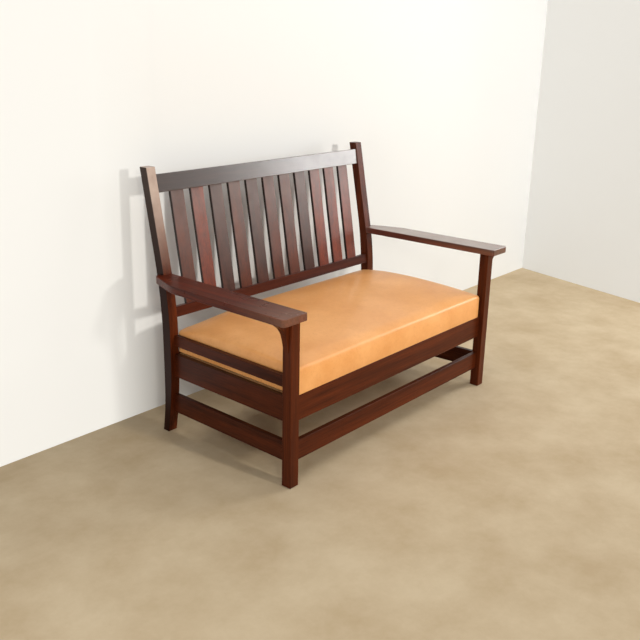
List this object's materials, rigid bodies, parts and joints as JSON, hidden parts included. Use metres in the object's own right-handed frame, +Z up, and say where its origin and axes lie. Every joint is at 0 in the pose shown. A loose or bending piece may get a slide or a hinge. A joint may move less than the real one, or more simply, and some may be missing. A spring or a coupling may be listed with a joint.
{
  "type": "settle",
  "caption": "Mission settle with a raked slatted back, flat arms on corbels, sawn back posts, box rails with stretchers, and a crowned leather seat cushion.",
  "frame": {"origin": "on the floor under the middle of the settle's bounding box", "axes": "+X to the right seen from the front, +Y towards the back, +Z up"},
  "size_m": [1.4096, 0.7782, 1.002],
  "materials": {
    "stained_wood": "gloss varnish over a dark red-brown stain",
    "secondary_wood": "bare planed",
    "leather": "tan, soft sheen",
    "webbing": "woven jute",
    "screw_steel": "zinc plated"
  },
  "bodies": {
    "root": {"back_slat_01": "stained_wood", "back_slat_02": "stained_wood", "back_slat_03": "stained_wood", "back_slat_04": "stained_wood", "back_slat_05": "stained_wood", "back_slat_06": "stained_wood", "back_slat_07": "stained_wood", "back_slat_08": "stained_wood", "back_slat_09": "stained_wood", "back_slat_10": "stained_wood", "back_slat_11": "stained_wood", "crest_rail": "stained_wood", "deck_brace": "secondary_wood", "deck_front_member": "secondary_wood", "deck_left_member": "secondary_wood", "deck_rear_member": "secondary_wood", "deck_right_member": "secondary_wood", "front_cleat": "secondary_wood", "front_seat_rail": "stained_wood", "front_stretcher": "stained_wood", "left_arm": "stained_wood", "left_back_post": "stained_wood", "left_cleat": "secondary_wood", "left_corbel": "stained_wood", "left_front_corner_block": "secondary_wood", "left_front_post": "stained_wood", "left_rear_corner_block": "secondary_wood", "left_seat_rail": "stained_wood", "left_stretcher": "stained_wood", "left_upper_side_rail": "stained_wood", "lower_back_rail": "stained_wood", "rear_cleat": "secondary_wood", "rear_seat_rail": "stained_wood", "right_arm": "stained_wood", "right_back_post": "stained_wood", "right_cleat": "secondary_wood", "right_corbel": "stained_wood", "right_front_corner_block": "secondary_wood", "right_front_post": "stained_wood", "right_rear_corner_block": "secondary_wood", "right_seat_rail": "stained_wood", "right_stretcher": "stained_wood", "right_upper_side_rail": "stained_wood", "seat_cushion": "leather", "seat_screws": "screw_steel", "seat_straps": "webbing"}
  },
  "joints": []
}
